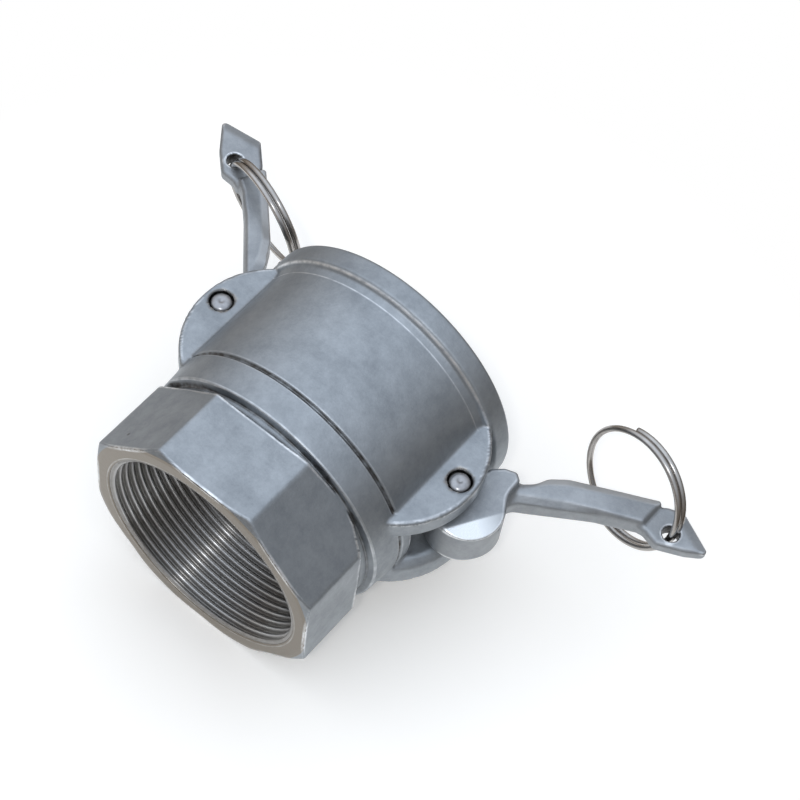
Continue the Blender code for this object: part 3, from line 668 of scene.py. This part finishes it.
# Pipe thread, cut inside the octagonal end: a right-handed taper thread with a pitch
# of 2.209 mm, bright from the cutter, with its crests painted lighter and its roots darker
# as painted shade in the grooves. Its first turn runs out in the countersink, and
# its last turn fades out in front of the shoulder under the gasket.
PITCH = 0.0022087
CREST_ROUND = 0.00050
ROOT_ROUND = 0.00035
THREAD_SIDES = 300
THREAD_START = 0.0002
THREAD_END = 0.0254
THREAD_STEP = 0.000115
ROOT_RADIUS = 0.03060
SLEEVE_RADIUS = 0.0314
TAPER_RUN = 27.0
LAST_TURN_END = 0.0236
LAST_TURN_FADE = 0.0018
COUNTERSINK_RADIUS = 0.0309
SHOULDER_START = 0.0240
SHOULDER_RADIUS = 0.02970
SLEEVE_SKIP = 12


def groove_depth(away):
    """Depth below the crest at a distance along the bore from the crest's middle.

    An arc of CREST_ROUND, a flank at 60 degrees to the bore, and an arc of ROOT_ROUND.
    """
    crest_end = CREST_ROUND * math.sin(math.pi / 3.0)
    root_start = PITCH / 2.0 - ROOT_ROUND * math.sin(math.pi / 3.0)
    top = CREST_ROUND - np.sqrt(np.maximum(CREST_ROUND ** 2 - away ** 2, 0.0))
    side = CREST_ROUND / 2.0 + (away - crest_end) * math.sqrt(3.0)
    bottom = CREST_ROUND / 2.0 + (root_start - crest_end) * math.sqrt(3.0) + ROOT_ROUND / 2.0
    root = bottom - ROOT_ROUND + np.sqrt(np.maximum(ROOT_ROUND ** 2 - (PITCH / 2.0 - away) ** 2, 0.0))
    return np.where(away < crest_end, top, np.where(away < root_start, side, root))


along = np.arange(THREAD_START, THREAD_END, THREAD_STEP)
along_column = along[:, None]
phi = np.arange(THREAD_SIDES) * 2.0 * np.pi / THREAD_SIDES
phase = np.mod(along_column / PITCH + phi[None, :] / (2.0 * np.pi), 1.0)
depth = groove_depth((0.5 - np.abs(phase - 0.5)) * PITCH)
full_depth = groove_depth(PITCH / 2.0)
ridge = 1.0 - depth / full_depth
root = ROOT_RADIUS - along_column / TAPER_RUN
last_turn = np.clip((LAST_TURN_END - along_column) / LAST_TURN_FADE, 0.0, 1.0)
thread = root - full_depth * ridge * last_turn
countersink = COUNTERSINK_RADIUS - 2.0 * along_column
run_out = thread < countersink
thread = np.maximum(thread, countersink)
shoulder = SHOULDER_RADIUS - (along_column - SHOULDER_START)
thread = np.where(along_column > SHOULDER_START, np.minimum(thread, shoulder), thread)
sleeve = np.tile((SLEEVE_RADIUS - along_column / TAPER_RUN), (1, THREAD_SIDES))[::-1][::SLEEVE_SKIP]
ring_radius = np.concatenate([thread, sleeve], 0)
ring_along = np.concatenate([along, along[::-1][::SLEEVE_SKIP]])
thread_points = np.stack([ring_radius * np.cos(phi),
                          np.tile(ring_along[:, None], (1, THREAD_SIDES)),
                          ring_radius * np.sin(phi)], 2)
crests = np.clip(ridge * 1.6 - 0.6, 0, 1) * last_turn * ~run_out
crest_marks = np.concatenate([crests, sleeve * 0.0], 0).reshape(-1)


def wound_faces(rows, columns):
    """Quads of a grid that closes both ways, like the skin of a ring."""
    row, column = np.meshgrid(np.arange(rows), np.arange(columns), indexing="ij")
    down = (row + 1) % rows
    beside = (column + 1) % columns
    return np.stack([row * columns + column, down * columns + column,
                     down * columns + beside, row * columns + beside], 2).reshape(-1, 4)


thread_piece = make_piece("pipe_thread", thread_points.reshape(-1, 3) + np.array(MOUTH),
                          wound_faces(len(ring_along), THREAD_SIDES), "housing", "cast_steel",
                          crest=crest_marks)
cut_steel = bpy.data.materials.new("cut_thread_steel")
cut_steel.use_nodes = True
tree = cut_steel.node_tree
shader = tree.nodes["Principled BSDF"]
shader.inputs["Metallic"].default_value = 1.0
place = add_node(tree, "ShaderNodeTexCoord").outputs["Object"]
crest = add_node(tree, "ShaderNodeAttribute", attribute_name="crest").outputs["Fac"]
patchy = add_node(tree, "ShaderNodeTexNoise", [("Vector", place), ("Scale", 700.0), ("Detail", 4.0)])
# Painted shade: the thread's roots are darker and its crests lighter.
colour = mixed(tree, patchy.outputs["Fac"], (0.20, 0.19, 0.175, 1.0), (0.37, 0.36, 0.35, 1.0))
colour = mixed(tree, crest, colour, (0.46, 0.46, 0.46, 1.0))
tree.links.new(colour, shader.inputs["Base Color"])
rough = mixed(tree, crest, 0.36, 0.30)
tree.links.new(rough, shader.inputs["Roughness"])
shader.inputs["Anisotropic"].default_value = 0.85
shader.inputs["Anisotropic Rotation"].default_value = 0.25
round_the_bore = add_node(tree, "ShaderNodeTangent", direction_type="RADIAL", axis="Y")
tree.links.new(round_the_bore.outputs["Tangent"], shader.inputs["Tangent"])
tool = add_node(tree, "ShaderNodeBump", [("Height", patchy.outputs["Fac"]), ("Strength", 0.35),
                ("Distance", 0.00006)])
tree.links.new(tool.outputs["Normal"], shader.inputs["Normal"])
thread_piece.data.materials.append(cut_steel)

# Cam arms, cast in one piece each: an eccentric cam head with a stop shoulder, a neck,
# a straight handle with chamfered edges, and a thinner tab with the hole for the ring.
# The cam's lower edge has a bright facet from grinding, where it wipes over the adapter; its
# brightness is partly a painted highlight and fades along the facet, and the bar's upper
# slants carry a painted highlight strip.
RIGHT_HINGE = MOUTH + Vector((PIN_OFFSET, PIN_STATION, 0.0))
LEFT_HINGE = MOUTH + Vector((-PIN_OFFSET, PIN_STATION, 0.0))
ARM_LENGTH = 0.0564
CAM_HALF = 0.0068
BAR_HALF = 0.0043
BAR_END_HALF = 0.0034
TAB_HALF = 0.0021
ARM_PIN_HOLE = 0.00308
RING_HOLE = 0.00225
FACET_U = 0.418
FACET_W = 0.908
FACET_START = 0.0074
TIP_BEVEL = 0.0031
ARM_STEP = 0.00036
RIGHT_ANGLE = math.radians(33.9)
LEFT_ANGLE = math.radians(52.4)
STOP = rounded_outline([(0.0040, 0.0040, 0.0), (0.0120, -0.0010, 0.0), (0.0141, 0.0040, 0.003),
                        (0.0162, 0.0074, 0.0016), (0.0153, 0.0099, 0.0012),
                        (0.0120, 0.0107, 0.002), (0.0080, 0.0100, 0.002)])
RIGHT_UNDER = [(0.0490, 0.0010, 0.0015), (0.0440, 0.0019, 0.006), (0.0370, 0.0025, 0.02),
               (0.0160, 0.0028, 0.002)]
LEFT_UNDER = [(0.0498, 0.0012, 0.0015), (0.0455, 0.0028, 0.006), (0.0370, 0.0038, 0.02),
              (0.0160, 0.0050, 0.002)]


def handle_outline(under, neck):
    """Side view of the bar, given its under side and how high its neck is."""
    return rounded_outline([(0.0060, -0.0010, 0.001), (0.0060, 0.0060, 0.001),
                            (0.0160, 0.0082, 0.003), (0.0203, neck, 0.006),
                            (0.0238, 0.0110, 0.005), (0.0290, 0.0117, 0.008),
                            (0.0440, 0.0101, 0.04), (0.0545, 0.0089, 0.0010),
                            (0.0530, 0.0068, 0.0030), (0.0507, 0.0036, 0.0030), *under])


def tab_outline(reach):
    """Side view of the tab, which ends at a slanted tip, reach past its hole."""
    tip = ARM_LENGTH + reach
    return rounded_outline([(0.0474, 0.0010, 0.001), (0.0474, 0.0078, 0.001),
                            (ARM_LENGTH - 0.0005, 0.0079, 0.002), (tip - 0.0060, 0.0068, 0.0012),
                            (tip, -0.0034, 0.0010), (tip - 0.0010, -0.0045, 0.0008),
                            (0.0604, -0.0046, 0.003), (0.0524, -0.0034, 0.002),
                            (0.0495, 0.0000, 0.002)])


def bar_top(u):
    """Height of the bar's upper edge at a distance from the pin, from its side view."""
    return np.interp(u, [0.016, 0.0238, 0.029, 0.044, 0.055], [0.0082, 0.0107, 0.0113, 0.0101, 0.0088])


def past_facet(u, w):
    """How far a point is past the line in the arm's plane where the facet from grinding starts."""
    return FACET_U * u - FACET_W * w - FACET_START


def arm_field(under, neck, chamfer, reach, cam):
    """Distance field of an arm in its own plane: u from pin to hole, w away from the body.

    A union of the cam head, the chamfered handle and the thin tab, with cast fillets
    between them, less the pin hole, the ring hole and the facet from grinding on the cam.
    chamfer is how wide the bar's lower slant is, and cam is the disc's (u, w, radius).
    """
    handle = handle_outline(under, neck)
    tab = tab_outline(reach)
    tip = ARM_LENGTH + reach

    def field(u, w, up):
        high = np.abs(up)
        disc = np.hypot(u - cam[0], w - cam[1]) - cam[2]
        half = np.interp(u, [0.020, 0.050], [BAR_HALF, BAR_END_HALF])
        stop = outline_distance(STOP, u, w)
        head = blend_max(blend_min(disc, stop, 0.0015), high - CAM_HALF, 0.0011)
        facet = past_facet(u, w) * 0.26 + (high - CAM_HALF)
        head = blend_max(head, facet / 1.033, 0.0002)
        side = outline_distance(handle, u, w)
        bar = blend_max(side, high - half, 0.0007)
        bar = blend_max(bar, (side + high - half + 0.0009) * HALF_ROOT, 0.0004)
        strip = ((w - bar_top(u) + 0.0021) * 0.42 + (high - half)) / 1.085
        bar = blend_max(bar, strip, 0.0002)
        low = np.interp(u, [0.016, 0.037, 0.049], [under[3][1], under[2][1], under[0][1]])
        wide = np.interp(u, [0.016, 0.028, 0.041], [chamfer, chamfer, 0.0008])
        slant = (low + wide - w) / wide + (high - half) / 0.0019
        bar = blend_max(bar, slant / np.hypot(1.0 / wide, 1.0 / 0.0019), 0.0005)
        side = outline_distance(tab, u, w)
        plate = blend_max(side, high - TAB_HALF, 0.0003)
        plate = blend_max(plate, (side + high - TAB_HALF + 0.0008) * HALF_ROOT, 0.0003)
        slanted = (u - tip) * 0.862 + (w + 0.0034) * 0.507
        bevel = (slanted + TIP_BEVEL) * 0.38 + (high - TAB_HALF)
        plate = blend_max(plate, bevel / 1.07, 0.0003)
        whole = blend_min(head, bar, 0.0016)
        whole = blend_min(whole, plate, 0.0006)
        pin_hole = np.hypot(u, w) - ARM_PIN_HOLE
        ring_hole = np.hypot(u - ARM_LENGTH, w) - RING_HOLE
        whole = blend_max(whole, -pin_hole, 0.0003)
        return blend_max(whole, -ring_hole, 0.0004)

    return field


def make_arm(name, hand, hinge, angle, under, neck, chamfer, reach, cam, body, node):
    """One arm as a mesh: the field's surface on a fine grid, turned to its rest pose.

    hand is 1 for the right arm and -1 for the left one, and angle is that of the line
    from pin to hole. The ring hole gets painted shade, dark as if shaded, the facet's
    brightness fades along it as a painted highlight, and the bar's upper slants get a
    painted highlight strip.
    """
    field = arm_field(under, neck, chamfer, reach, cam)
    u = np.arange(-0.0080, ARM_LENGTH + reach + 0.0012, ARM_STEP)
    w = np.arange(-0.0120, 0.0126, ARM_STEP)
    up = np.arange(-0.0076, 0.0077, ARM_STEP)
    values = field(u[:, None, None], w[None, :, None], up[None, None, :])
    spots, faces = surface_net(values, False)
    points = spots * ARM_STEP + np.array([u[0], w[0], up[0]])
    points = settle_on(field, points, 3)
    sharp = sharpness(field, points, 0.0008)
    u, w, high = points[:, 0], points[:, 1], np.abs(points[:, 2])
    facet = np.clip((past_facet(u, w) + 0.00005) / 0.0003, 0.0, 1.0)
    facet *= np.clip((high - 0.0052) / 0.0004, 0.0, 1.0)
    # Painted highlight: the facet's brightness fades to a quarter along its length.
    facet *= np.interp(FACET_W * u + FACET_U * w, [0.0025, 0.0090], [1.0, 0.25])
    pin_hole = np.hypot(u, w) < ARM_PIN_HOLE + 0.00012
    in_ring_hole = np.hypot(u - ARM_LENGTH, w) < RING_HOLE + 0.00015
    # Painted shade: the ring hole is marked as a hollow corner, so that it comes out dark.
    sharp = np.where(in_ring_hole, -0.55, sharp)
    # Painted highlight strip along the bar's upper slants, lighter as if lit from behind.
    strip = np.clip((w - bar_top(u) + 0.0024) / 0.0006, 0.0, 1.0)
    strip *= np.clip((high - 0.0018) / 0.0006, 0.0, 1.0)
    strip *= 0.35 * np.interp(u, [0.020, 0.022, 0.0525, 0.0535], [0.0, 1.0, 1.0, 0.0])
    along_u = np.array([hand * math.cos(angle), math.sin(angle)])
    along_w = np.array([-hand * math.sin(angle), math.cos(angle)])
    flat = points[:, :1] * along_u + points[:, 1:2] * along_w
    placed = np.concatenate([flat, points[:, 2:]], 1) + np.array(hinge)
    piece = make_piece(name, placed, faces, body, "cast_steel", node, sharpness=sharp,
                       machined=pin_hole, ground=np.maximum(facet, strip))
    piece.data.materials.append(arm_steel)


arm_steel = cast_steel("blasted_arm_steel", (0.285, 0.303, 0.322), (0.412, 0.430, 0.448))
make_arm("right_arm_casting", 1, RIGHT_HINGE, RIGHT_ANGLE, RIGHT_UNDER, 0.0088, 0.0022, 0.0098,
         (0.0030, -0.0010, 0.0102), "right_arm", "right_cam_arm")
make_arm("left_arm_casting", -1, LEFT_HINGE, LEFT_ANGLE, LEFT_UNDER, 0.0108, 0.0010, 0.01407,
         (0.0012, 0.0008, 0.0087), "left_arm", "left_cam_arm")

# Hinge pins, turned from bright bar and pressed in from below: each shows a domed end
# with a small centre mark, in a dark ring where the hole is a little wider.
PIN_RADIUS = 0.00292
PIN_TOP = 0.01585
PIN_SIDES = 64
pin_radius = np.array([0.00001, 0.0003, 0.0006, 0.0009, 0.0013, 0.0018, 0.0023, 0.0026, 0.0028, 0.00290,
                       PIN_RADIUS, PIN_RADIUS])
pin_height = PIN_TOP - np.array([0.00026, 0.00024, 0.00012, 0.00002, 0.0, 0.00008, 0.00028, 0.00048,
                                 0.00070, 0.00095, 0.0013, 0.0080])
pin_radius = np.concatenate([pin_radius, pin_radius[::-1]])
pin_height = np.concatenate([pin_height, -pin_height[::-1]])
pin_spin = np.arange(PIN_SIDES) * 2.0 * np.pi / PIN_SIDES


def turned_faces(rows, columns):
    """Quads of a turned grid, with its first and last rows closed by strips of quads."""
    row, column = np.meshgrid(np.arange(rows - 1), np.arange(columns), indexing="ij")
    beside = (column + 1) % columns
    quads = np.stack([row * columns + column, (row + 1) * columns + column,
                      (row + 1) * columns + beside, row * columns + beside], 2).reshape(-1, 4)
    side = np.arange(columns // 2 - 1)
    cap = np.stack([side, side + 1, columns - 2 - side, columns - 1 - side], 1)
    return np.concatenate([quads, cap, cap[:, ::-1] + (rows - 1) * columns])


def turned_points(radii, heights, spin):
    """Points of a profile of radius and height turned round the upright axis."""
    return np.stack([np.outer(radii, np.cos(spin)), np.outer(radii, np.sin(spin)),
                     np.outer(heights, np.ones(len(spin)))], 2).reshape(-1, 3)


pin_points = turned_points(pin_radius, pin_height, pin_spin)
bright_pin = bpy.data.materials.new("bright_pin_steel")
bright_pin.use_nodes = True
tree = bright_pin.node_tree
shader = tree.nodes["Principled BSDF"]
shader.inputs["Metallic"].default_value = 1.0
shader.inputs["Roughness"].default_value = 0.28
place = add_node(tree, "ShaderNodeTexCoord").outputs["Object"]
patchy = add_node(tree, "ShaderNodeTexNoise", [("Vector", place), ("Scale", 900.0)])
tree.links.new(mixed(tree, patchy.outputs["Fac"], (0.21, 0.21, 0.22, 1.0), (0.43, 0.43, 0.44, 1.0)),
               shader.inputs["Base Color"])
for side, hinge in (("right", RIGHT_HINGE), ("left", LEFT_HINGE)):
    pin = make_piece(side + "_pin_turned", pin_points + np.array(hinge),
                     turned_faces(len(pin_radius), PIN_SIDES), "housing", "bright_steel", side + "_hinge_pin")
    pin.data.materials.append(bright_pin)

# Pull rings: split rings of bright spring wire, two turns side by side over most of the
# way, with the wire's cut ends lying against the turn beside them.
RING_RADIUS = 0.0165
WIRE_RADIUS = 0.00087
WIRE_PITCH = 2.0 * WIRE_RADIUS + 0.0001
SINGLE_WIRE = math.radians(115.0)
RING_STATIONS = 300
WIRE_SIDES = 18


def split_ring(name, hand, hinge, angle, swing, lean, slip, jog, play, body, node):
    """Wire swept along two turns that change sides, closed by rounded ends.

    The line is centre + R (cos a, side, sin a), where side goes from minus to plus
    half a pitch over the single stretch. The wire's circle stands square to it.
    swing and lean turn the ring in its hole, slip is the way from the hole to the
    ring's middle, jog is where the wire starts, and play is what the hole leaves.
    """
    reach = RING_RADIUS + play
    total = 4.0 * math.pi - SINGLE_WIRE
    along = np.linspace(0.0, total, RING_STATIONS)
    share = np.clip((along - (2.0 * math.pi - SINGLE_WIRE)) / SINGLE_WIRE, 0.0, 1.0)
    side = WIRE_PITCH * (share * share * (3.0 - 2.0 * share) - 0.5)
    turn = jog + along
    line = np.stack([reach * math.cos(slip) + RING_RADIUS * np.cos(turn), side,
                     reach * math.sin(slip) + RING_RADIUS * np.sin(turn)], 1)
    ahead = np.gradient(line, axis=0)
    ahead /= np.linalg.norm(ahead, axis=1)[:, None]
    outward = np.stack([np.cos(turn), 0.0 * turn, np.sin(turn)], 1)
    outward -= ahead * (outward * ahead).sum(1)[:, None]
    outward /= np.linalg.norm(outward, axis=1)[:, None]
    across = np.cross(ahead, outward)
    ease = np.array([0.001, 0.45, 0.80, 0.95])
    size = np.concatenate([ease, np.ones(RING_STATIONS), ease[::-1]]) * WIRE_RADIUS
    pad = np.array([0.0, 0.02, 0.08, 0.18]) * WIRE_RADIUS
    pad -= 0.20 * WIRE_RADIUS
    first = line[0] + ahead[0] * pad[:, None]
    last = line[-1] - ahead[-1] * pad[::-1][:, None]
    line = np.concatenate([first, line, last])
    outward = np.pad(outward, ((len(pad), len(pad)), (0, 0)), "edge")
    across = np.pad(across, ((len(pad), len(pad)), (0, 0)), "edge")
    spin = np.arange(WIRE_SIDES) * 2.0 * np.pi / WIRE_SIDES
    points = (line[:, None] + size[:, None, None] * (outward[:, None] * np.cos(spin)[None, :, None]
                                                     + across[:, None] * np.sin(spin)[None, :, None]))
    arm_turn = angle if hand > 0 else math.pi - angle
    place = (Matrix.Translation(hinge) @ Matrix.Rotation(arm_turn, 4, "Z")
             @ Matrix.Translation((ARM_LENGTH, 0.0, 0.0))
             @ Matrix.Rotation(hand * swing, 4, "Z") @ Matrix.Rotation(hand * lean, 4, "X"))
    solid = points.reshape(-1, 3) @ np.array(place.to_3x3()).T + np.array(place.translation)
    piece = make_piece(name, solid, turned_faces(len(line), WIRE_SIDES), body, "spring_steel", node)
    piece.data.materials.append(spring_wire)


spring_wire = bpy.data.materials.new("spring_wire")
spring_wire.use_nodes = True
tree = spring_wire.node_tree
shader = tree.nodes["Principled BSDF"]
shader.inputs["Metallic"].default_value = 1.0
place = add_node(tree, "ShaderNodeTexCoord").outputs["Object"]
dull = add_node(tree, "ShaderNodeTexNoise", [("Vector", place), ("Scale", 260.0), ("Detail", 4.0)])
tree.links.new(mixed(tree, dull.outputs["Fac"], (0.28, 0.265, 0.25, 1.0), (0.54, 0.52, 0.50, 1.0)),
               shader.inputs["Base Color"])
tree.links.new(mixed(tree, dull.outputs["Fac"], 0.30, 0.18), shader.inputs["Roughness"])
split_ring("right_ring_wire", 1, RIGHT_HINGE, RIGHT_ANGLE, math.radians(131.4), math.radians(15.0),
           math.radians(7.0), math.radians(62.0), -0.0003, "right_ring", "right_pull_ring")
split_ring("left_ring_wire", -1, LEFT_HINGE, LEFT_ANGLE, math.radians(145.2), math.radians(-6.4),
           math.radians(-19.0), math.radians(-60.0), 0.0002, "left_ring", "left_pull_ring")

# Gasket, a moulded washer of black rubber in its recess at the bottom of the socket.
rubber_outline = rounded_outline([(0.0262, 0.0315, 0.0008), (0.0333, 0.0315, 0.0008),
                                  (0.0333, 0.0372, 0.0006), (0.0318, 0.0378, 0.0003),
                                  (0.0262, 0.0378, 0.0008)], 5)
GASKET_SIDES = 160
gasket_spin = np.arange(GASKET_SIDES) * 2.0 * np.pi / GASKET_SIDES
gasket_points = np.stack([np.outer(rubber_outline[:, 0], np.cos(gasket_spin)),
                          np.outer(rubber_outline[:, 1], np.ones(GASKET_SIDES)),
                          np.outer(rubber_outline[:, 0], np.sin(gasket_spin))], 2).reshape(-1, 3)
gasket = make_piece("gasket_moulding", gasket_points + np.array(MOUTH),
                    wound_faces(len(rubber_outline), GASKET_SIDES), "housing", "rubber", "gasket")
rubber = bpy.data.materials.new("black_rubber")
rubber.use_nodes = True
tree = rubber.node_tree
shader = tree.nodes["Principled BSDF"]
place = add_node(tree, "ShaderNodeTexCoord").outputs["Object"]
dust = add_node(tree, "ShaderNodeTexNoise", [("Vector", place), ("Scale", 300.0), ("Detail", 5.0)])
tree.links.new(mixed(tree, dust.outputs["Fac"], (0.016, 0.016, 0.017, 1.0), (0.040, 0.039, 0.038, 1.0)),
               shader.inputs["Base Color"])
tree.links.new(mixed(tree, dust.outputs["Fac"], 0.50, 0.68), shader.inputs["Roughness"])
gasket.data.materials.append(rubber)
